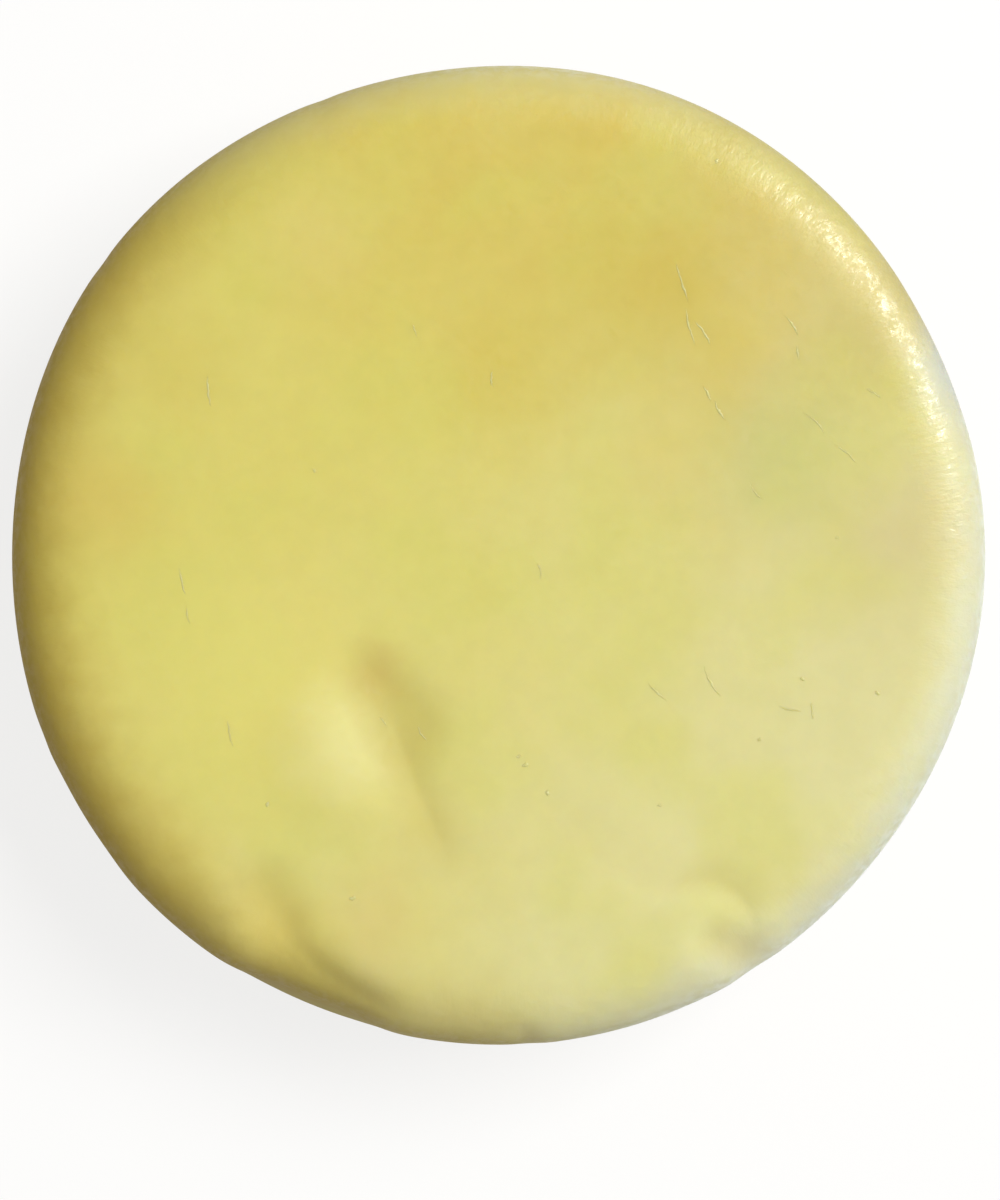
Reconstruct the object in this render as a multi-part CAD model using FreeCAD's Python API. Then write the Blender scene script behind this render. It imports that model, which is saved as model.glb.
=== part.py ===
# A one-kilogram wheel of stretched-curd melting cheese, lying on its flat base.
#
# The cheese is a single solid.  Its skin is one smooth surface: a section with a dished top,
# rounded shoulder, gently bulged wall and rounded heel is carried round an outline that is
# nearly, but not quite, a circle.  The folds, laps and dents that the warm curd kept when it was
# gathered and pressed are added to that section as relief, at right angles to the skin.
#
# Millimetres, +Z up, with the origin under the middle of the wheel, on the surface it rests on.
import FreeCAD
import Part
import math
import os
from collections import namedtuple

# Overall size.
DIAMETER = 150.0
HEIGHT = 55.0

# Section, from the middle of the top to the base.
DISH_DEPTH = 0.8
SHOULDER_WIDTH = 11.0
SHOULDER_DROP = 12.0
WALL_BULGE = 1.6
WIDEST_HEIGHT = 23.0
HEEL_WIDTH = 8.0
HEEL_RISE = 9.0
ROUNDNESS = 2.6

# How far a fold that reaches the edge takes to die out as it runs down the wall.
FOLD_FADE = 12.0

# Waves of the outline: how many go round the wheel, their height, and the direction of a crest.
Wave = namedtuple("Wave", "count height crest")
OUTLINE_WAVES = (
    Wave(count=2, height=0.27, crest=71.5),
    Wave(count=3, height=0.08, crest=15.0),
    Wave(count=4, height=0.13, crest=-36.0),
    Wave(count=5, height=0.26, crest=-3.0),
)

# Broad swells of the top: direction and inset from the edge of the middle, height, and reach.
Swell = namedtuple("Swell", "direction inset height reach")
SWELLS = (
    Swell(direction=52, inset=17, height=0.55, reach=17),
    Swell(direction=135, inset=20, height=0.25, reach=18),
    Swell(direction=285, inset=24, height=0.3, reach=16),
    Swell(direction=95, inset=50, height=-0.25, reach=14),
    Swell(direction=345, inset=26, height=-0.2, reach=15),
)

# A fold is a ridge (height above zero) or groove (below zero) that runs along a gentle curve.  The
# middle of its chord is placed by direction and by inset from the edge; heading is the way that
# the chord runs, in plan, and left and right are the reach of the two banks, seen along it.  Bow
# is how far the line stands off the middle of its chord, to the left.  Edge is 2 for a fold that
# is round along its line, and less for a sharp one.  Drop is how far the fold keeps its full
# height on the wall, below the shoulder; below zero, it starts to die out on the shoulder.
Fold = namedtuple(
    "Fold",
    "direction inset heading length height left right bow edge drop",
    defaults=(0, 2, 0),
)

# The navel, where the ball of curd was gathered: a short hollow, the long sharp crease that runs on
# from it, and the swollen bank beside them.
NAVEL = (
    Fold(direction=234.5, inset=47.5, heading=-44, length=20, height=-1, left=4.2, right=8, bow=1),
    Fold(direction=251, inset=38.5, heading=-68, length=25, height=-0.9, left=3.2, right=8, edge=1.4),
    Fold(direction=234, inset=37, heading=-62, length=24, height=0.9, left=8, right=7, bow=-3),
)

# A slack place in the edge: a valley, the low swelling outside it, and the shoulder that slopes
# away beyond them.
SLACK_EDGE = (
    Fold(direction=237, inset=13, heading=-60, length=12, height=-0.95, left=4.4, right=5),
    Fold(direction=232, inset=7.5, heading=-65, length=14, height=0.15, left=4, right=5, bow=1),
    Fold(
        direction=248.5, inset=7.5, heading=-39, length=21, height=-1.8,
        left=4, right=14, bow=-2, drop=-5,
    ),
)

# The lap: a tongue of curd laid over the edge.  The long shallow valley that leads to it, the
# groove along its foot, its curled lip, the pit that it leaves and the low lump beyond.
LAP = (
    Fold(direction=303, inset=21.5, heading=-14, length=42, height=-0.28, left=7, right=3, bow=-5.5),
    Fold(
        direction=301.5, inset=13.5, heading=-21, length=14, height=-0.4,
        left=2.6, right=1.6, bow=3.5, edge=1.4,
    ),
    Fold(direction=299, inset=13, heading=-13, length=13, height=0.4, left=2.6, right=4.5, bow=1.5),
    Fold(direction=301, inset=6.5, heading=-30, length=11, height=-1, left=3.6, right=3.4, drop=-6),
    Fold(direction=297.5, inset=3.5, heading=-27, length=9, height=0.2, left=3, right=4, drop=-6),
)

# Nips and lumps of the edge where the curd met the rim of its mould, and flats pressed in it.
NIPS = (
    Fold(direction=273.5, inset=2.5, heading=-86, length=4, height=-0.25, left=1.8, right=1.8, drop=2),
    Fold(direction=276.5, inset=2.5, heading=-88, length=4, height=0.12, left=2, right=2, drop=2),
    Fold(direction=202, inset=4, heading=205, length=7, height=-0.2, left=2, right=2.6, drop=6),
    Fold(direction=143.6, inset=1.5, heading=140, length=6, height=-0.12, left=2, right=2, drop=8),
    Fold(direction=111, inset=1.8, heading=108, length=6, height=-0.12, left=2, right=2, drop=5),
    Fold(direction=212.5, inset=0, heading=302, length=20, height=-0.35, left=9, right=9, drop=14),
    Fold(direction=24, inset=0, heading=114, length=26, height=-0.2, left=8, right=8, drop=12),
)

FOLDS = NAVEL + SLACK_EDGE + LAP + NIPS

# Number of control points: round the wheel, and along each stretch of the section.
DIRECTIONS = 300
TOP_ROWS = 40
SHOULDER_ROWS = 18
WALL_ROWS = 14
HEEL_ROWS = 9

SKIN_DEGREE = 3

# One point of the section: its radius and height, and its distance along the skin past the
# inner edge of the shoulder, which is negative on the top.
Station = namedtuple("Station", "radius height down")


def smooth_step(value):
    """Climb smoothly from 0 at 0 to 1 at 1, and stay there."""
    value = min(max(value, 0.0), 1.0)
    return value * value * (3.0 - 2.0 * value)


def bell(offset, reach, edge=2):
    """A hump that is 1 in the middle and nearly gone at twice its reach; round where edge is 2."""
    return math.exp(-(abs(offset / reach) ** edge))


def outline_radius(direction):
    """Radius of the widest line of the wheel in a direction in radians."""
    radius = DIAMETER / 2.0
    for wave in OUTLINE_WAVES:
        radius += wave.height * math.cos(wave.count * (direction - math.radians(wave.crest)))
    return radius


def quarter_round(turn):
    """Point on a quarter of a rounded square, as its two shares of the side, for a turn in radians."""
    power = 2.0 / ROUNDNESS
    return max(math.cos(turn), 0.0) ** power, max(math.sin(turn), 0.0) ** power


def bulge(height):
    """How far the wall stands out at a height; most at the widest line, nothing at top and base."""
    span = HEIGHT - WIDEST_HEIGHT if height > WIDEST_HEIGHT else WIDEST_HEIGHT
    return WALL_BULGE * (1.0 - ((height - WIDEST_HEIGHT) / span) ** 2)


def section(rim):
    """Stations of the plain section from the axis to the base, for an outline of radius rim."""
    wall = rim - WALL_BULGE
    flat = wall - SHOULDER_WIDTH
    wall_top = HEIGHT - SHOULDER_DROP
    top = []
    for row in range(TOP_ROWS):
        share = row / TOP_ROWS
        top.append((flat * share, HEIGHT - DISH_DEPTH * (1.0 - share**2) ** 2))
    side = []
    for row in range(SHOULDER_ROWS):
        out, up = quarter_round(math.pi / 2.0 * (1.0 - row / SHOULDER_ROWS))
        side.append((flat + SHOULDER_WIDTH * out, wall_top + SHOULDER_DROP * up))
    for row in range(WALL_ROWS):
        side.append((wall, wall_top + (HEEL_RISE - wall_top) * row / WALL_ROWS))
    for row in range(HEEL_ROWS + 1):
        out, down = quarter_round(math.pi / 2.0 * row / HEEL_ROWS)
        side.append((wall - HEEL_WIDTH * (1.0 - out), HEEL_RISE * (1.0 - down)))
    return measured(top + [(radius + bulge(height), height) for radius, height in side], flat)


def measured(line, flat):
    """Give each (radius, height) of the section its distance along the skin past radius flat."""
    stations = []
    travelled = -flat
    before = line[0]
    for point in line:
        travelled += math.dist(before, point)
        stations.append(Station(point[0], point[1], travelled))
        before = point
    return stations


def placed(feature, rim):
    """Plan position of the middle of a swell or fold on a wheel of outline radius rim."""
    direction = math.radians(feature.direction)
    radius = rim - feature.inset
    return radius * math.cos(direction), radius * math.sin(direction)


def fold_height(fold, east, north, below):
    """Height of a fold at a plan position, and at a distance below the shoulder on the wall."""
    middle_east, middle_north = placed(fold, DIAMETER / 2.0)
    heading = math.radians(fold.heading)
    step_east = east - middle_east
    step_north = north - middle_north
    along = step_east * math.cos(heading) + step_north * math.sin(heading)
    aside = step_north * math.cos(heading) - step_east * math.sin(heading)
    aside -= fold.bow * (1.0 - (2.0 * along / fold.length) ** 2)
    bank = bell(aside, fold.left if aside > 0.0 else fold.right, fold.edge)
    ends = math.exp(-((2.0 * along / fold.length) ** 4))
    fade = 1.0 - smooth_step((below - fold.drop) / FOLD_FADE)
    return fold.height * bank * ends * fade


def swell_height(swell, east, north, down):
    """Height of a swell at a plan position; swells stop at the shoulder."""
    middle_east, middle_north = placed(swell, DIAMETER / 2.0)
    away = math.hypot(east - middle_east, north - middle_north)
    return swell.height * bell(away, swell.reach) * (1.0 - smooth_step(down / SHOULDER_WIDTH))


def relief(station, direction, shoulder_run):
    """Height of the folds and swells over the plain skin at a station."""
    east = station.radius * math.cos(direction)
    north = station.radius * math.sin(direction)
    below = station.down - shoulder_run
    height = 0.0
    for fold in FOLDS:
        height += fold_height(fold, east, north, below)
    for swell in SWELLS:
        height += swell_height(swell, east, north, station.down)
    return height


def skin_line(direction):
    """Control points of the skin from the axis to the base, in one direction in radians."""
    stations = section(outline_radius(direction))
    shoulder_run = stations[TOP_ROWS + SHOULDER_ROWS].down
    line = []
    for row, station in enumerate(stations):
        before = stations[max(row - 1, 0)]
        after = stations[min(row + 1, len(stations) - 1)]
        slope = math.atan2(after.height - before.height, after.radius - before.radius)
        height = relief(station, direction, shoulder_run)
        radius = station.radius - height * math.sin(slope)
        line.append(
            FreeCAD.Vector(
                radius * math.cos(direction),
                radius * math.sin(direction),
                station.height + height * math.cos(slope),
            )
        )
    return line


def close_middle(lines):
    """Bring the first control point of every line to one point on the axis, and level the base."""
    top = sum(line[0].z for line in lines) / len(lines)
    for line in lines:
        line[0] = FreeCAD.Vector(0.0, 0.0, top)
        line[-1].z = 0.0


def skin_surface():
    """The skin as one B-spline surface that closes round the wheel."""
    lines = [skin_line(2.0 * math.pi * number / DIRECTIONS) for number in range(DIRECTIONS)]
    close_middle(lines)
    spans = len(lines[0]) - SKIN_DEGREE
    clamped = [SKIN_DEGREE + 1] + [1] * (spans - 1) + [SKIN_DEGREE + 1]
    surface = Part.BSplineSurface()
    surface.buildFromPolesMultsKnots(
        lines,
        [1] * (DIRECTIONS + 1),
        clamped,
        list(range(DIRECTIONS + 1)),
        list(range(spans + 1)),
        True,
        False,
        SKIN_DEGREE,
        SKIN_DEGREE,
    )
    return surface


def wheel():
    """The whole cheese: its skin closed by the flat base, centred over the origin."""
    skin = skin_surface().toShape()
    foot = min(skin.Edges, key=lambda edge: (edge.BoundBox.ZMax, -edge.Length))
    shell = Part.makeShell([skin, Part.Face(Part.Wire(foot))])
    shell.sewShape()
    solid = Part.Solid(shell)
    if solid.Volume < 0.0:
        solid.reverse()
    middle = solid.optimalBoundingBox(False, False).Center
    solid.translate(FreeCAD.Vector(-middle.x, -middle.y, 0.0))
    return solid


os.makedirs("parts", exist_ok=True)
cheese = wheel()
if not cheese.isValid():
    raise ValueError("the cheese is not a sound solid")
cheese.exportStep("parts/cheese_wheel.step")
box = cheese.optimalBoundingBox(False, False)
print("cheese_wheel", round(cheese.Volume / 1000.0, 1), "ml", box)
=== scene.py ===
"""The looks of a wheel of melting cheese: a fine folded skin in place of the CAD solid, with its
material, a plain pale floor, soft studio lamps and a camera straight above.

The form of the skin is worked out in millimetres and handed to Blender in metres.
"""
import bpy
import math
import numpy as np
from collections import namedtuple
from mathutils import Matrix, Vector
from mathutils.bvhtree import BVHTree


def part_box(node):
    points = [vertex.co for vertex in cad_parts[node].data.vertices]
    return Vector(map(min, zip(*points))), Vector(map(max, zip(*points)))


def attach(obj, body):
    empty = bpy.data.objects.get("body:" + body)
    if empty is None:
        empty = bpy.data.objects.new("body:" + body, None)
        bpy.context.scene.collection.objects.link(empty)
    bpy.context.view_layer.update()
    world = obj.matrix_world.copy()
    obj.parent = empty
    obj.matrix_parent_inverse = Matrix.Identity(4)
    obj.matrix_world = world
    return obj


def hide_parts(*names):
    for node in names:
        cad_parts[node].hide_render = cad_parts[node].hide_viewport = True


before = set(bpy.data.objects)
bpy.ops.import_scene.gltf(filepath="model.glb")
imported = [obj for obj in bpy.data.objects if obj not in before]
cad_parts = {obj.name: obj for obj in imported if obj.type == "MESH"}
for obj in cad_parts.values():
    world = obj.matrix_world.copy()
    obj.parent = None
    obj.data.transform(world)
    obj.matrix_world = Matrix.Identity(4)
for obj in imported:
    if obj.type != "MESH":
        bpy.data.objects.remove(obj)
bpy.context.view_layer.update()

MM = 0.001

# ---------------------------------------------------------------- form of the wheel, millimetres

RADIUS = 75.0
HEIGHT = 55.0
DISH_DEPTH = 0.8
SHOULDER_WIDTH = 11.0
SHOULDER_DROP = 12.0
WALL_BULGE = 1.6
WIDEST_HEIGHT = 23.0
HEEL_WIDTH = 8.0
HEEL_RISE = 9.0
ROUNDNESS = 2.6
FOLD_FADE = 12.0

# Waves of the outline: how many go round the wheel, their height, and the direction of a crest.
Wave = namedtuple("Wave", "count height crest")
OUTLINE_WAVES = (
    Wave(2, 0.27, 71.5),
    Wave(3, 0.08, 15.0),
    Wave(4, 0.13, -36.0),
    Wave(5, 0.26, -3.0),
)

# Broad swells of the top.
Swell = namedtuple("Swell", "direction inset height reach")
SWELLS = (
    Swell(52, 17, 0.55, 17),
    Swell(135, 20, 0.25, 18),
    Swell(285, 24, 0.30, 16),
    Swell(95, 50, -0.25, 14),
    Swell(345, 26, -0.20, 15),
)

# Folds, as ridges (height above zero) or grooves (below zero), with their width to the left and
# right of their line. Edge above or below 2 makes the bank squarer or sharper, and drop is how far
# below the shoulder a fold starts to fade.
Fold = namedtuple(
    "Fold", "direction inset heading length height left right bow edge drop", defaults=(0, 2, 0),
)
FOLDS = (
    # the navel
    Fold(234.5, 47.5, -44, 20, -1, 4.2, 8, 1),
    Fold(251, 38.5, -68, 25, -0.9, 3.2, 8, 0, 1.4),
    Fold(234, 37, -62, 24, 0.9, 8, 7, -3),
    # the slack place in the edge
    Fold(237, 13, -60, 12, -0.95, 4.4, 5),
    Fold(232, 7.5, -65, 14, 0.15, 4, 5, 1),
    Fold(248.5, 7.5, -39, 21, -1.8, 4, 14, -2, 2, -5),
    # the lap
    Fold(303, 21.5, -14, 42, -0.28, 7, 3, -5.5),
    Fold(301.5, 13.5, -21, 14, -0.4, 2.6, 1.6, 3.5, 1.4),
    Fold(299, 13, -13, 13, 0.4, 2.6, 4.5, 1.5),
    Fold(301, 6.5, -30, 11, -1, 3.6, 3.4, 0, 2, -6),
    Fold(297.5, 3.5, -27, 9, 0.2, 3, 4, 0, 2, -6),
    # nips and flats of the edge
    Fold(273.5, 2.5, -86, 4, -0.25, 1.8, 1.8, 0, 2, 2),
    Fold(276.5, 2.5, -88, 4, 0.12, 2, 2, 0, 2, 2),
    Fold(202, 4, 205, 7, -0.2, 2, 2.6, 0, 2, 6),
    Fold(143.6, 1.5, 140, 6, -0.12, 2, 2, 0, 2, 8),
    Fold(111, 1.8, 108, 6, -0.12, 2, 2, 0, 2, 5),
    Fold(212.5, 0, 302, 20, -0.35, 9, 9, 0, 2, 14),
    Fold(24, 0, 114, 26, -0.2, 8, 8, 0, 2, 12),
)

# Fine threads of curd that lie on the top: plan position of the middle, heading of the line in
# degrees, length and width.
THREADS = (
    (27.4, 40.5, -72, 6.0, 0.34), (28.6, 34.0, -76, 5.5, 0.36), (30.4, 33.0, -58, 4.2, 0.32),
    (31.0, 24.0, -62, 2.5, 0.36), (33.0, 21.5, -61, 3.1, 0.42), (43.7, 34.1, -59, 3.5, 0.36),
    (44.6, 30.1, -84, 2.2, 0.34), (47.0, 19.5, -44, 4.5, 0.26), (51.8, 15.0, -41, 4.0, 0.26),
    (56.0, 24.0, -30, 2.6, 0.26), (-43.2, 24.4, -84, 4.5, 0.36), (-47.2, -4.0, -78, 4.0, 0.28),
    (-46.3, -9.0, -76, 2.5, 0.28), (-0.9, 26.2, -90, 2.3, 0.34), (23.7, -20.4, -44, 4.0, 0.34),
    (31.9, -18.9, -62, 5.0, 0.4), (43.5, -23.0, -12, 3.4, 0.34), (46.8, -23.4, -86, 2.6, 0.3),
    (-40.1, -26.7, -80, 4.0, 0.26), (-17.3, -25.1, -51, 2.0, 0.26), (-11.3, -26.8, -56, 2.8, 0.26),
    (-12.5, 33.5, -70, 2.0, 0.26), (6.0, -2.5, -78, 2.4, 0.26), (38.5, 9.5, -52, 3.0, 0.26),
)
# Small grains on the top: plan position and width.
GRAINS = (
    (56.5, -20.7, 0.6), (45.3, -18.6, 0.55), (7.3, -35.6, 0.6), (38.9, -27.6, 0.5),
    (-21.8, -51.3, 0.7), (-34.5, -37.3, 0.55), (32.6, 58.7, 0.6), (4.0, -31.5, 0.7),
    (3.0, -30.2, 0.5), (24.0, -37.5, 0.45), (-27.5, 12.5, 0.45), (50.5, 2.5, 0.45),
)
GRAIN_LENGTH = 1.5  # times the width
THREAD_STATIONS = 11
THREAD_SIDES = 8
THREAD_RISE = 0.4  # height over width
THREAD_SINK = 0.1
THREAD_BOW = 0.12  # most, as a share of the length
THREAD_WOBBLE = 0.09

# Broad tints, each of which comes in across the wheel along a heading in degrees, from one
# distance past its middle to another. Shades are as a screen shows them, 0 to 255.
Tint = namedtuple("Tint", "heading start end strength shade")
CURD = (226, 216, 119)
AMBER = Tint(55, -5, 60, 0.9, (221, 199, 98))
DUSKY = Tint(0, 14, 58, 0.7, (213, 198, 130))
# painted sheen: paler towards the lower right, where the cool light from the right glances off the
# skin
PALE_SHEEN = Tint(-42, -45, 92, 1.0, (231, 228, 172))
GREENISH_PATCHES = (221, 218, 114)
WALL = (246, 230, 148)
# painted shade in the folds, partly the curd's own deeper tone there
HOLLOW_SHADE = (200, 178, 84)

# Tints of the rim alone: a painted bluish reflection on the right, painted shade on the left, and a
# greyer upper rim.
# painted reflection: bluish white along the right and lower right of the rim
RIGHT_RIM_REFLECTION = Tint(-28, 25, 72, 0.8, (222, 226, 204))
# painted shade: dark brown along the left of the rim
LEFT_RIM_SHADE = Tint(186, -6, 70, 0.75, (180, 152, 50))
OLIVE = Tint(90, 45, 72, 0.75, (220, 214, 150))

# Soft stains, and patches of painted light: plan position of the middle, reach, strength and shade.
# Those near the edge lie on the shoulder. The painted light: the bluish patch at (70, 28) and the
# pale one at (35, -59) are a painted reflection on the right of the rim, the dark ones at (65, 42),
# (53, 57) and (37, 65) are painted shade on the rim beside the glint, the one at (-4, -75) is
# painted shade along the bottom of the rim, and the brown one at (-18, -18) is painted shade in the
# navel's crease.
STAINS_AND_PAINTED_LIGHT = (
    (-35, -20, 30, 0.4, (240, 231, 134)), (42, 15, 18, 0.45, (202, 203, 130)),
    (58, 4, 18, 0.3, (212, 198, 146)), (55, 32, 15, 0.4, (208, 194, 112)),
    (24, 40, 22, 0.4, (214, 195, 84)), (2, 26, 18, 0.35, (219, 200, 90)),
    (0, 66, 13, 0.4, (228, 220, 144)), (-28, 48, 14, 0.35, (232, 210, 132)),
    (-48, 28, 13, 0.35, (216, 196, 92)),
    (-23, -28, 13, 0.5, (240, 236, 172)), (-18, -18, 7, 0.45, (214, 180, 104)),
    (-19, -55, 12, 0.35, (226, 202, 124)), (25, -47, 15, 0.35, (238, 234, 176)),
    (35, -59, 14, 0.6, (242, 242, 200)), (-58, 8, 14, 0.35, (218, 188, 88)),
    (-33, -57, 12, 0.65, (238, 224, 130)), (-4, -75, 19, 0.5, (190, 172, 88)),
    (65, 42, 16, 0.6, (192, 182, 100)), (53, 57, 16, 0.5, (194, 184, 100)),
    (37, 65, 14, 0.4, (206, 192, 92)),
    (70, 28, 14, 0.8, (206, 217, 220)),
)

# Most of the patches on the shoulder are painted light.
SHOULDER_PATCH_EDGE = 66.0  # radius past which a stain is on the shoulder
SHOULDER_PATCH_HEIGHT = 48.0

# Layers of the fine relief: size of the lumps, detail and roughness of the noise, and height on
# the top and on the shoulder.
Layer = namedtuple("Layer", "size detail roughness top shoulder")
STREAKS = Layer(1.6, 3.0, 0.6, 0.0, 0.19)
GRAIN = Layer(0.8, 3.0, 0.6, 0.012, 0.065)
LUMPS = Layer(3.2, 1.0, 0.5, 0.05, 0.12)

# Floor and world: linear colour of what they throw back on the cheese, and of what is seen.
FLOOR_BOUNCE = (0.50, 0.42, 0.32, 1.0)
FLOOR_SEEN = (0.22, 0.22, 0.22, 1.0)
FLOOR_GLOW = 0.79
MIRROR_TINT = (0.66, 0.84, 1.0, 1.0)
MIRROR_STRENGTH = 0.6
WORLD_BOUNCE = (0.32, 0.31, 0.29, 1.0)
WORLD_SEEN = (0.95, 0.95, 0.95, 1.0)
WHITE = (1.0, 1.0, 1.0, 1.0)

# Mesh: cells across the top and shoulder, and rings down the wall and round the heel.
TOP_CELLS = 240
WALL_RINGS = 22
HEEL_RINGS = 8

FULL_HOLLOW = 1.2  # depth at which a fold has its whole shade
FLOOR_HALF = 4.0  # metres
LAMP_DISTANCE = 1.6  # metres


def smooth_step(value):
    """Climb smoothly from 0 at 0 to 1 at 1."""
    value = np.clip(value, 0.0, 1.0)
    return value * value * (3.0 - 2.0 * value)


def bell(offset, reach, edge=2):
    """A hump that is 1 in the middle and nearly gone at twice its reach; edge 2 makes it round."""
    return np.exp(-(np.abs(offset / reach) ** edge))


def outline_radius(direction):
    """Radius of the widest line of the wheel in each direction."""
    radius = np.full_like(direction, RADIUS)
    for wave in OUTLINE_WAVES:
        radius += wave.height * np.cos(wave.count * (direction - math.radians(wave.crest)))
    return radius


def bulge(height):
    """How far the wall stands out at a height."""
    span = np.where(height > WIDEST_HEIGHT, HEIGHT - WIDEST_HEIGHT, WIDEST_HEIGHT)
    return WALL_BULGE * (1.0 - ((height - WIDEST_HEIGHT) / span) ** 2)


class SideSection:
    """The plain section from the inner edge of the shoulder to the base, by distance along it."""

    def __init__(self, samples=600):
        power = 2.0 / ROUNDNESS
        turn = np.linspace(0.0, math.pi / 2.0, samples)
        rising = np.sin(turn) ** power
        falling = np.cos(turn).clip(0.0) ** power
        wall_top = HEIGHT - SHOULDER_DROP
        wall_height = np.linspace(wall_top, HEEL_RISE, samples)
        out = np.concatenate((
            SHOULDER_WIDTH * rising,
            np.full(samples, SHOULDER_WIDTH),
            SHOULDER_WIDTH - HEEL_WIDTH * (1.0 - falling),
        ))
        height = np.concatenate((
            wall_top + SHOULDER_DROP * falling,
            wall_height,
            HEEL_RISE * (1.0 - rising),
        ))
        self.out = out + bulge(height)
        self.height = height
        steps = np.hypot(np.diff(self.out), np.diff(height))
        self.down = np.concatenate(([0.0], np.cumsum(steps)))
        self.shoulder_run = self.down[samples - 1]
        self.wall_end = self.down[2 * samples - 1]
        self.base = self.down[-1]
        slope = np.arctan2(np.gradient(height), np.gradient(self.out) + 1e-9)
        self.normal_out = -np.sin(slope)
        self.normal_up = np.cos(slope)

    def at(self, down, values):
        """Values of the section at distances down from the inner edge of the shoulder."""
        return np.interp(down, self.down, values)


SIDE = SideSection()


def placed(feature):
    """Plan position of the middle of a swell or fold."""
    direction = math.radians(feature.direction)
    radius = RADIUS - feature.inset
    return radius * math.cos(direction), radius * math.sin(direction)


def fold_height(fold, east, north, below):
    """Height of a fold at plan positions, and at distances below the shoulder on the wall."""
    middle_east, middle_north = placed(fold)
    heading = math.radians(fold.heading)
    step_east, step_north = east - middle_east, north - middle_north
    along = step_east * math.cos(heading) + step_north * math.sin(heading)
    aside = step_north * math.cos(heading) - step_east * math.sin(heading)
    aside -= fold.bow * (1.0 - (2.0 * along / fold.length) ** 2)
    bank = bell(aside, np.where(aside > 0.0, fold.left, fold.right), fold.edge)
    ends = np.exp(-((2.0 * along / fold.length) ** 4))
    return fold.height * bank * ends * (1.0 - smooth_step((below - fold.drop) / FOLD_FADE))


def relief(east, north, down):
    """Height of the folds and swells over the plain skin."""
    below = down - SIDE.shoulder_run
    height = np.zeros_like(east)
    for fold in FOLDS:
        height += fold_height(fold, east, north, below)
    on_top = 1.0 - smooth_step(down / SHOULDER_WIDTH)
    for swell in SWELLS:
        middle_east, middle_north = placed(swell)
        away = np.hypot(east - middle_east, north - middle_north)
        height += swell.height * bell(away, swell.reach) * on_top
    return height


def skin_point(direction, down):
    """Positions on the skin, for directions in radians and distances past the shoulder's edge."""
    flat = outline_radius(direction) - WALL_BULGE - SHOULDER_WIDTH
    on_side = down > 0.0
    radius = np.where(on_side, flat + SIDE.at(down, SIDE.out), flat + down)
    dish = HEIGHT - DISH_DEPTH * (1.0 - np.clip(radius / flat, 0.0, 1.0) ** 2) ** 2
    height = np.where(on_side, SIDE.at(down, SIDE.height), dish)
    normal_out = np.where(on_side, SIDE.at(down, SIDE.normal_out), 0.0)
    normal_up = np.where(on_side, SIDE.at(down, SIDE.normal_up), 1.0)
    east, north = radius * np.cos(direction), radius * np.sin(direction)
    lift = relief(east, north, down)
    radius = radius + lift * normal_out
    east, north = radius * np.cos(direction), radius * np.sin(direction)
    return np.stack((east, north, height + lift * normal_up), axis=-1)


def disc_grid(cells):
    """Share of the radius, and direction, of each point of a square grid bent into a disc."""
    line = np.linspace(-1.0, 1.0, cells + 1)
    across, along = np.meshgrid(line, line, indexing="xy")
    wide = np.abs(across) > np.abs(along)
    longer = np.where(wide, across, along)
    shorter = np.where(wide, along, across)
    slant = np.divide(shorter, longer, out=np.zeros_like(longer), where=longer != 0.0)
    tilt = math.pi / 4.0 * slant
    direction = np.where(wide, tilt, math.pi / 2.0 - tilt)
    direction = np.where(longer < 0.0, direction + math.pi, direction)
    return np.abs(longer).ravel(), direction.ravel()


def grid_border(cells):
    """Indices of the points on the border of the grid, anticlockwise."""
    side = cells + 1
    bottom = [column for column in range(cells)]
    right = [row * side + cells for row in range(cells)]
    top = [cells * side + column for column in range(cells, 0, -1)]
    left = [row * side for row in range(cells, 0, -1)]
    return bottom + right + top + left


def wheel_mesh():
    """Points and faces of the whole skin: the disc of top and shoulder, then rings to the base."""
    share, direction = disc_grid(TOP_CELLS)
    flat = outline_radius(direction) - WALL_BULGE - SHOULDER_WIDTH
    points = [skin_point(direction, share * (flat + SIDE.shoulder_run) - flat)]
    side = TOP_CELLS + 1
    faces = []
    for row in range(TOP_CELLS):
        for column in range(TOP_CELLS):
            corner = row * side + column
            faces.append((corner, corner + 1, corner + side + 1, corner + side))
    border = grid_border(TOP_CELLS)
    around = direction[border]
    rings = list(np.linspace(SIDE.shoulder_run, SIDE.wall_end, WALL_RINGS + 1)[1:])
    rings += list(np.linspace(SIDE.wall_end, SIDE.base, HEEL_RINGS + 1)[1:])
    upper = border
    start = side * side
    for down in rings:
        points.append(skin_point(around, np.full(len(border), down)))
        lower = list(range(start, start + len(border)))
        for here in range(len(border)):
            beyond = (here + 1) % len(border)
            faces.append((upper[here], lower[here], lower[beyond], upper[beyond]))
        upper = lower
        start += len(border)
    faces.append(tuple(reversed(upper)))
    return np.concatenate(points), faces


def fit_to_box(points, low, high):
    """Stretch points so that their box is the given one."""
    lowest, highest = points.min(axis=0), points.max(axis=0)
    return low + (points - lowest) / (highest - lowest) * (high - low)


def hollowness(points):
    """How deep each point of the top or shoulder lies in the folds, from 0 to 1."""
    depth = np.zeros(len(points))
    above_wall = np.full(len(points), -SHOULDER_DROP)
    for fold in FOLDS:
        depth -= fold_height(fold, points[:, 0], points[:, 1], above_wall)
    return np.clip(depth / FULL_HOLLOW, 0.0, 1.0) * (points[:, 2] > HEIGHT - SHOULDER_DROP)


def new_piece(name, points, faces, material):
    """A smooth-shaded mesh piece that rides with the cheese."""
    mesh = bpy.data.meshes.new(name)
    mesh.from_pydata(points.tolist(), [], faces)
    mesh.update()
    mesh.polygons.foreach_set("use_smooth", [True] * len(mesh.polygons))
    mesh.materials.append(material)
    piece = bpy.data.objects.new(name, mesh)
    bpy.context.scene.collection.objects.link(piece)
    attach(piece, "root")
    return piece


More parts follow.
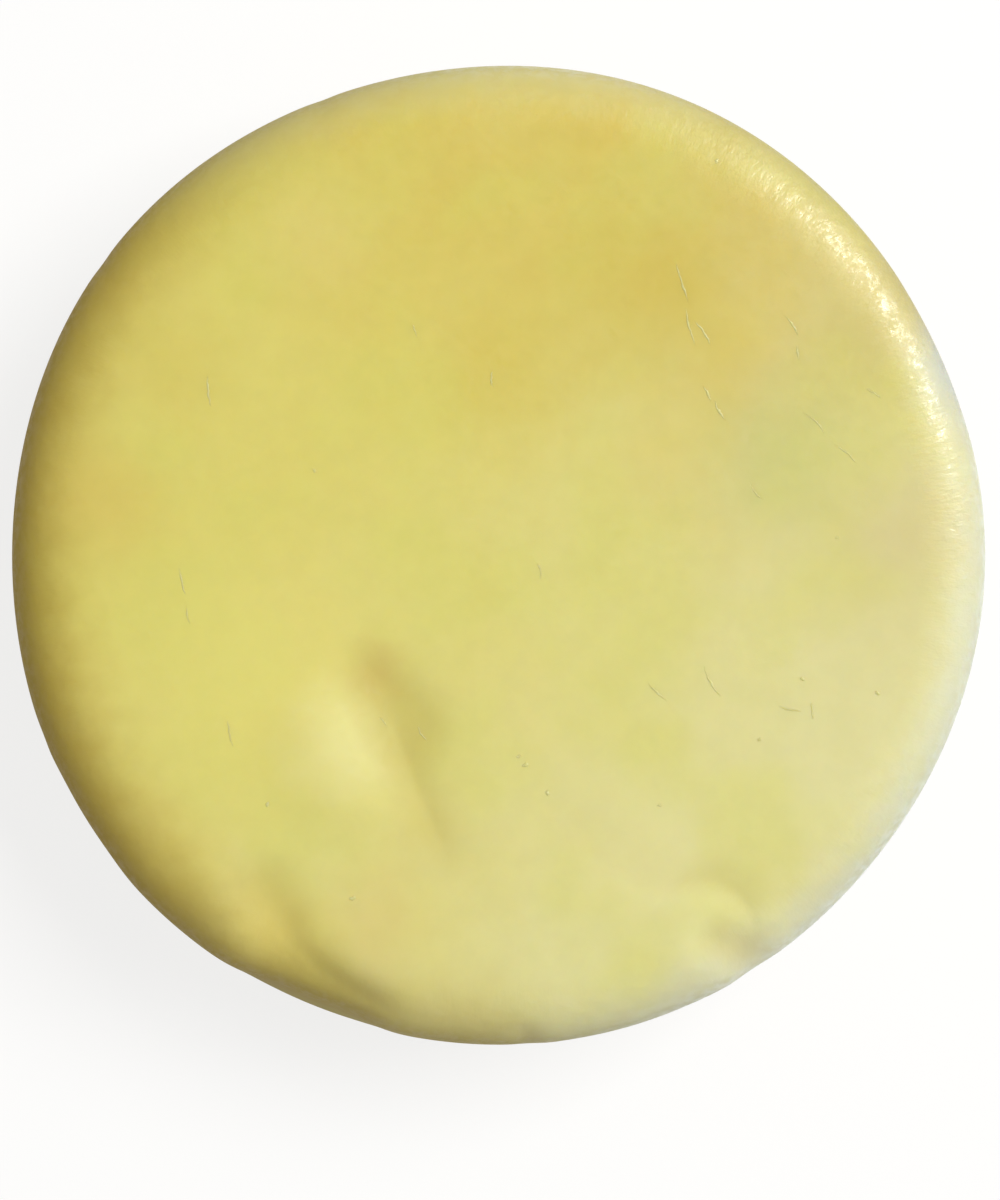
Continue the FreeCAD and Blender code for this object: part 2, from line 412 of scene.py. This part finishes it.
def thread_mesh(tree):
    """Closed spindles half sunk in the skin, one for each thread and grain, in millimetres."""
    chance = np.random.default_rng(5)
    rows = list(THREADS)
    for east, north, width in GRAINS:
        rows.append((east, north, chance.uniform(0, 180), GRAIN_LENGTH * width, width))
    points, faces = [], []
    for east, north, heading, length, width in rows:
        turned = math.radians(heading)
        along = Vector((math.cos(turned), math.sin(turned), 0.0))
        aside = Vector((-along.y, along.x, 0.0))
        bow = chance.uniform(-THREAD_BOW, THREAD_BOW) * length
        start = len(points)
        for station in range(THREAD_STATIONS):
            share = 2.0 * station / (THREAD_STATIONS - 1) - 1.0
            taper = max(1.0 - share * share, 0.02) ** 0.7
            thickness = 0.5 * width * taper * chance.uniform(0.6, 1.2)
            wobble = bow * (1.0 - share * share) + chance.uniform(-THREAD_WOBBLE, THREAD_WOBBLE)
            plan = Vector((east, north, 0.0)) + along * (0.5 * length * share) + aside * wobble
            above = plan + Vector((0.0, 0.0, 2.0 * HEIGHT))
            foot, normal = tree.ray_cast(above, Vector((0.0, 0.0, -1.0)))[:2]
            for side in range(THREAD_SIDES):
                turn = 2.0 * math.pi * side / THREAD_SIDES
                rise = THREAD_RISE * math.sin(turn) - THREAD_SINK
                points.append(foot + (aside * math.cos(turn) + normal * rise) * thickness)
        for station in range(THREAD_STATIONS - 1):
            ring = start + station * THREAD_SIDES
            beyond = ring + THREAD_SIDES
            for side in range(THREAD_SIDES):
                near = (side + 1) % THREAD_SIDES
                faces.append((ring + side, ring + near, beyond + near, beyond + side))
        last = start + (THREAD_STATIONS - 1) * THREAD_SIDES
        faces.append(tuple(reversed(range(start, start + THREAD_SIDES))))
        faces.append(tuple(range(last, last + THREAD_SIDES)))
    return np.array(points), faces


# ---------------------------------------------------------------- material

class Nodes:
    """Short names for making and linking the nodes of one tree."""

    def __init__(self, tree):
        self.tree = tree
        self.tree.nodes.clear()

    def add(self, kind, inputs=None, **settings):
        node = self.tree.nodes.new(kind)
        for name, value in settings.items():
            setattr(node, name, value)
        for name, value in (inputs or {}).items():
            if isinstance(value, bpy.types.NodeSocket):
                self.tree.links.new(value, node.inputs[name])
            else:
                node.inputs[name].default_value = value
        return node

    def noise(self, where, size, detail=2.0, roughness=0.5):
        """Noise whose lumps are about a size across, in millimetres."""
        inputs = {
            "Vector": where, "Scale": 1.0 / (size * MM), "Detail": detail, "Roughness": roughness,
        }
        return self.add("ShaderNodeTexNoise", inputs).outputs["Fac"]

    def ramp(self, value, low, high, to_low=0.0, to_high=1.0):
        """Value carried smoothly from one range to another, clamped."""
        inputs = {
            "Value": value, "From Min": low, "From Max": high, "To Min": to_low, "To Max": to_high,
        }
        node = self.add("ShaderNodeMapRange", inputs, interpolation_type="SMOOTHSTEP")
        return node.outputs["Result"]

    def mix(self, share, first, second):
        """Two colours mixed by a share; the inputs are picked by number, as their names repeat."""
        node = self.add("ShaderNodeMix", {0: share, 6: first, 7: second}, data_type="RGBA")
        return node.outputs[2]

    def maths(self, operation, first, second):
        return self.add("ShaderNodeMath", {0: first, 1: second}, operation=operation).outputs[0]

    def vector(self, operation, inputs):
        return self.add("ShaderNodeVectorMath", inputs, operation=operation).outputs


def colour(red, green, blue):
    """Colour for a shader, from the values that a screen shows, 0 to 255."""
    shown = (channel / 255.0 for channel in (red, green, blue))
    linear = (c / 12.92 if c <= 0.04045 else ((c + 0.055) / 1.055) ** 2.4 for c in shown)
    return (*linear, 1.0)


def share_of_way(n, east, north, heading, start, end):
    """Share from 0 to 1 of the way across the wheel along a heading in degrees, in millimetres."""
    along_east = n.maths("MULTIPLY", east, math.cos(math.radians(heading)))
    along_north = n.maths("MULTIPLY", north, math.sin(math.radians(heading)))
    return n.ramp(n.maths("ADD", along_east, along_north), start * MM, end * MM)


def tinted(n, body, tint, east, north, within=None):
    """A colour with a broad tint over it, everywhere or within a share of the skin."""
    share = share_of_way(n, east, north, tint.heading, tint.start, tint.end)
    if within is not None:
        share = n.maths("MULTIPLY", within, share)
    return n.mix(n.maths("MULTIPLY", share, tint.strength), body, colour(*tint.shade))


def skin_colour(n, where, split, radius):
    """Yellow curd, amber above and paler below under a painted sheen, with soft stains and patches
    of painted reflection and shade, a painted bluish reflection on the right of the rim, painted
    shade on its left, and painted shade in the folds.
    """
    wander = n.add("ShaderNodeTexNoise", {"Vector": where, "Scale": 1.0 / (24 * MM), "Detail": 3.0})
    drift = n.vector("SUBTRACT", {0: wander.outputs["Color"], 1: (0.5, 0.5, 0.5)})[0]
    drift = n.vector("SCALE", {0: drift, "Scale": 70 * MM})[0]
    drifted = n.vector("ADD", {0: where, 1: drift})[0]
    loose = n.add("ShaderNodeSeparateXYZ", {"Vector": drifted}).outputs
    body = colour(*CURD)
    # amber, a duskier patch, and a painted sheen towards the lower right
    for tint in (AMBER, DUSKY, PALE_SHEEN):
        body = tinted(n, body, tint, loose["X"], loose["Y"])
    patches = n.ramp(n.noise(where, 24), 0.4, 0.65, 0.0, 0.5)
    body = n.mix(patches, body, colour(*GREENISH_PATCHES))
    mottle = n.ramp(n.noise(where, 4.5, 4.0, 0.6), 0.35, 0.65, 0.988, 1.012)
    body = n.add("ShaderNodeHueSaturation", {"Value": mottle, "Color": body}).outputs[0]
    wall = n.ramp(split["Z"], 8 * MM, 42 * MM, 0.7, 0.0)
    body = n.mix(wall, body, colour(*WALL))

    # the rim, with ragged borders: a painted bluish reflection on the right, painted shade on the
    # left and a greyer top; its tints fade out down the wall
    fray = n.maths("MULTIPLY", n.maths("SUBTRACT", n.noise(where, 5.0, 3.0), 0.5), 6 * MM)
    frayed = n.maths("ADD", radius, fray)
    ragged = n.maths("MULTIPLY", n.maths("SUBTRACT", n.noise(where, 30), 0.5), 16 * MM)
    shoulder = n.ramp(n.maths("ADD", split["Z"], ragged), 20 * MM, 46 * MM)
    side = n.maths("MULTIPLY", shoulder, n.ramp(frayed, 57 * MM, 73 * MM))
    edge = n.maths("MULTIPLY", shoulder, n.ramp(frayed, 64 * MM, 74 * MM))
    for tint, within in ((RIGHT_RIM_REFLECTION, edge), (LEFT_RIM_SHADE, side), (OLIVE, edge)):
        body = tinted(n, body, tint, split["X"], split["Y"], within)

    # soft stains, and patches of painted reflection and painted shade
    for east, north, reach, strength, shade in STAINS_AND_PAINTED_LIGHT:
        up = HEIGHT if math.hypot(east, north) < SHOULDER_PATCH_EDGE else SHOULDER_PATCH_HEIGHT
        middle = (east * MM, north * MM, up * MM)
        away = n.vector("DISTANCE", {0: where, 1: middle})["Value"]
        near = n.ramp(n.maths("ADD", away, fray), 0.0, reach * MM, strength, 0.0)
        body = n.mix(near, body, colour(*shade))
    # painted shade: darker and browner as the folds sink, partly the curd's own deeper tone there
    hollow = n.add("ShaderNodeAttribute", attribute_name="hollow").outputs["Fac"]
    return n.mix(n.maths("MULTIPLY", hollow, 0.4), body, colour(*HOLLOW_SHADE))


def relief_layer(n, where, layer, on_side):
    """Height of one layer of the fine relief."""
    lumps = n.noise(where, layer.size, layer.detail, layer.roughness)
    return n.maths("MULTIPLY", lumps, n.ramp(on_side, 0.0, 1.0, layer.top, layer.shoulder))


def skin_relief(n, where, split, cut, radius, on_side, not_wall):
    """Height of the fine relief: faint on the top, grained and streaked across the shoulder."""
    outward = n.vector("NORMALIZE", {0: cut})[0]
    round_edge = n.vector("SCALE", {0: outward, "Scale": RADIUS * MM})[0]
    lengthwise = n.maths("MULTIPLY", n.maths("SUBTRACT", radius, split["Z"]), 0.3)
    across = n.add("ShaderNodeCombineXYZ", {"Z": lengthwise}).outputs[0]
    along_edge = n.vector("ADD", {0: round_edge, 1: across})[0]
    streaks = relief_layer(n, along_edge, STREAKS, on_side)
    grain = relief_layer(n, where, GRAIN, on_side)
    fine = n.maths("MULTIPLY", n.maths("ADD", streaks, grain), not_wall)
    lively = n.ramp(share_of_way(n, split["X"], split["Y"], 30, 35, 66), 0.0, 1.0, 0.3, 1.0)
    return n.maths("ADD", n.maths("MULTIPLY", fine, lively), relief_layer(n, where, LUMPS, on_side))


def cheese_material():
    """Smooth curd: its colour, its relief and a faintly uneven shine."""
    material = bpy.data.materials.new("cheese_skin")
    material.use_nodes = True
    n = Nodes(material.node_tree)
    where = n.add("ShaderNodeTexCoord").outputs["Object"]
    split = n.add("ShaderNodeSeparateXYZ", {"Vector": where}).outputs
    cut = n.add("ShaderNodeCombineXYZ", {"X": split["X"], "Y": split["Y"], "Z": 0.0}).outputs[0]
    radius = n.vector("LENGTH", {0: cut})["Value"]
    on_side = n.ramp(radius, 60 * MM, 69 * MM)
    not_wall = n.ramp(split["Z"], 43 * MM, 50 * MM)
    relief_height = skin_relief(n, where, split, cut, radius, on_side, not_wall)
    bump = n.add("ShaderNodeBump", {"Height": relief_height, "Strength": 1.0, "Distance": MM})
    shine = n.ramp(n.noise(where, 1.4, 4.0, 0.7), 0.38, 0.62, -0.11, 0.2)
    shine = n.maths("MULTIPLY", shine, not_wall)
    shader = n.add("ShaderNodeBsdfPrincipled", {
        "Base Color": skin_colour(n, where, split, radius),
        "Roughness": n.maths("ADD", n.ramp(on_side, 0.0, 1.0, 0.44, 0.43), shine),
        "Normal": bump.outputs["Normal"],
        "IOR": 1.5,
        "Subsurface Weight": 0.35,
        "Subsurface Radius": (1.0, 0.75, 0.3),
        "Subsurface Scale": 4.0 * MM,
    })
    n.add("ShaderNodeOutputMaterial", {"Surface": shader.outputs[0]})
    return material


def thread_material():
    """The same curd, paler and a little glossier; the paler colour is partly the threads' own and
    partly a painted highlight.
    """
    material = bpy.data.materials.new("thread_skin")
    material.use_nodes = True
    n = Nodes(material.node_tree)
    where = n.add("ShaderNodeTexCoord").outputs["Object"]
    body = n.mix(n.noise(where, 1.5, 2.0), colour(234, 224, 128), colour(243, 237, 162))
    shader = n.add("ShaderNodeBsdfPrincipled", {
        "Base Color": body,
        "Roughness": n.ramp(n.noise(where, 0.8, 2.0), 0.3, 0.7, 0.28, 0.4),
        "IOR": 1.45,
        "Subsurface Weight": 0.35,
        "Subsurface Radius": (1.0, 0.75, 0.3),
        "Subsurface Scale": 2.0 * MM,
    })
    n.add("ShaderNodeOutputMaterial", {"Surface": shader.outputs[0]})
    return material


# ---------------------------------------------------------------- surroundings

def floor_material():
    """Pale where it is seen and darker for the light it throws back.

    Its mirror image in the cheese is bluish, brighter to the right, and dull to the upper right.
    """
    material = bpy.data.materials.new("floor")
    material.use_nodes = True
    n = Nodes(material.node_tree)
    rays = n.add("ShaderNodeLightPath").outputs
    where = n.add("ShaderNodeNewGeometry").outputs["Position"]
    split = n.add("ShaderNodeSeparateXYZ", {"Vector": where}).outputs
    brighter = share_of_way(n, split["X"], split["Y"], 10, -50, 80)
    outward = n.vector("NORMALIZE", {0: where})[0]
    upper_right = (math.cos(math.radians(48)), math.sin(math.radians(48)), 0.0)
    towards = n.vector("DOT_PRODUCT", {0: outward, 1: upper_right})["Value"]
    duller = n.ramp(towards, 0.78, 0.96, 1.0, 0.25)
    mirrored = n.maths("MULTIPLY", rays["Is Glossy Ray"], n.ramp(brighter, 0.0, 1.0, 0.2, 2.6))
    mirrored = n.maths("MULTIPLY", mirrored, duller)
    tone = n.mix(rays["Is Camera Ray"], FLOOR_BOUNCE, FLOOR_SEEN)
    shader = n.add("ShaderNodeBsdfDiffuse", {"Color": tone})
    cool = n.mix(rays["Is Glossy Ray"], WHITE, MIRROR_TINT)
    seen = n.maths("MULTIPLY", rays["Is Camera Ray"], FLOOR_GLOW)
    strength = n.maths("ADD", seen, n.maths("MULTIPLY", mirrored, MIRROR_STRENGTH))
    glow = n.add("ShaderNodeEmission", {"Color": cool, "Strength": strength})
    both = n.add("ShaderNodeAddShader", {0: shader.outputs[0], 1: glow.outputs[0]})
    n.add("ShaderNodeOutputMaterial", {"Surface": both.outputs[0]})
    return material


def make_floor():
    half = FLOOR_HALF
    corners = [(-half, -half, 0), (half, -half, 0), (half, half, 0), (-half, half, 0)]
    mesh = bpy.data.meshes.new("floor")
    mesh.from_pydata(corners, [], [(0, 1, 2, 3)])
    mesh.materials.append(floor_material())
    floor = bpy.data.objects.new("floor", mesh)
    bpy.context.scene.collection.objects.link(floor)


def make_world():
    world = bpy.data.worlds.new("studio")
    bpy.context.scene.world = world
    world.use_nodes = True
    n = Nodes(world.node_tree)
    rays = n.add("ShaderNodeLightPath").outputs
    tone = n.mix(rays["Is Camera Ray"], WORLD_BOUNCE, WORLD_SEEN)
    background = n.add("ShaderNodeBackground", {"Color": tone, "Strength": 1.0})
    n.add("ShaderNodeOutputWorld", {"Surface": background.outputs[0]})


def make_lamp(name, direction, elevation, size, power, tint, shines):
    """An area lamp that faces the cheese, and only lights it or only glints on it."""
    lamp = bpy.data.lights.new(name, "AREA")
    lamp.shape = "RECTANGLE"
    lamp.size, lamp.size_y = size
    lamp.energy = power
    lamp.color = tint
    holder = bpy.data.objects.new(name, lamp)
    around, above = math.radians(direction), math.radians(elevation)
    flat = math.cos(above)
    outward = Vector((math.cos(around) * flat, math.sin(around) * flat, math.sin(above)))
    holder.location = outward * LAMP_DISTANCE + Vector((0.0, 0.0, HEIGHT * MM))
    holder.rotation_euler = outward.to_track_quat("Z", "Y").to_euler()
    holder.visible_camera = False
    holder.visible_diffuse = shines == "diffuse"
    holder.visible_glossy = shines == "glossy"
    bpy.context.scene.collection.objects.link(holder)


def make_camera():
    """Straight above, with the wheel a little above the middle of an upright frame."""
    camera_height = 0.6
    frame_length = 189.1 * MM
    wheel_left, wheel_up = 0.2 * MM, 6.8 * MM
    lens = bpy.data.cameras.new("camera")
    lens.sensor_width = 36.0
    lens.lens = lens.sensor_width * camera_height / frame_length
    camera = bpy.data.objects.new("camera", lens)
    camera.location = (wheel_left, -wheel_up, camera_height + WIDEST_HEIGHT * MM)
    bpy.context.scene.collection.objects.link(camera)
    bpy.context.scene.camera = camera


low, high = (np.array(corner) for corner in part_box("cheese_wheel"))
skin_points, skin_faces = wheel_mesh()
placed_points = fit_to_box(skin_points, low, high)
skin = new_piece("cheese_skin", placed_points, skin_faces, cheese_material())
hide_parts("cheese_wheel")
hollows = skin.data.attributes.new("hollow", "FLOAT", "POINT")
hollows.data.foreach_set("value", hollowness(skin_points))
skin_tree = BVHTree.FromPolygons((placed_points / MM).tolist(), skin_faces)
thread_points, thread_faces = thread_mesh(skin_tree)
new_piece("curd_threads", thread_points * MM, thread_faces, thread_material())

make_floor()
make_world()
make_lamp("key", 26, 60, (0.7, 0.7), 20.2, (1.0, 0.99, 0.95), "diffuse")
make_lamp("glint", 32, 22, (0.6, 0.6), 38, (1.0, 0.98, 0.93), "glossy")
make_lamp("window", -10, 9, (1.2, 0.4), 4, (0.7, 0.85, 1.0), "glossy")
make_camera()
bpy.context.scene.view_settings.view_transform = "Standard"
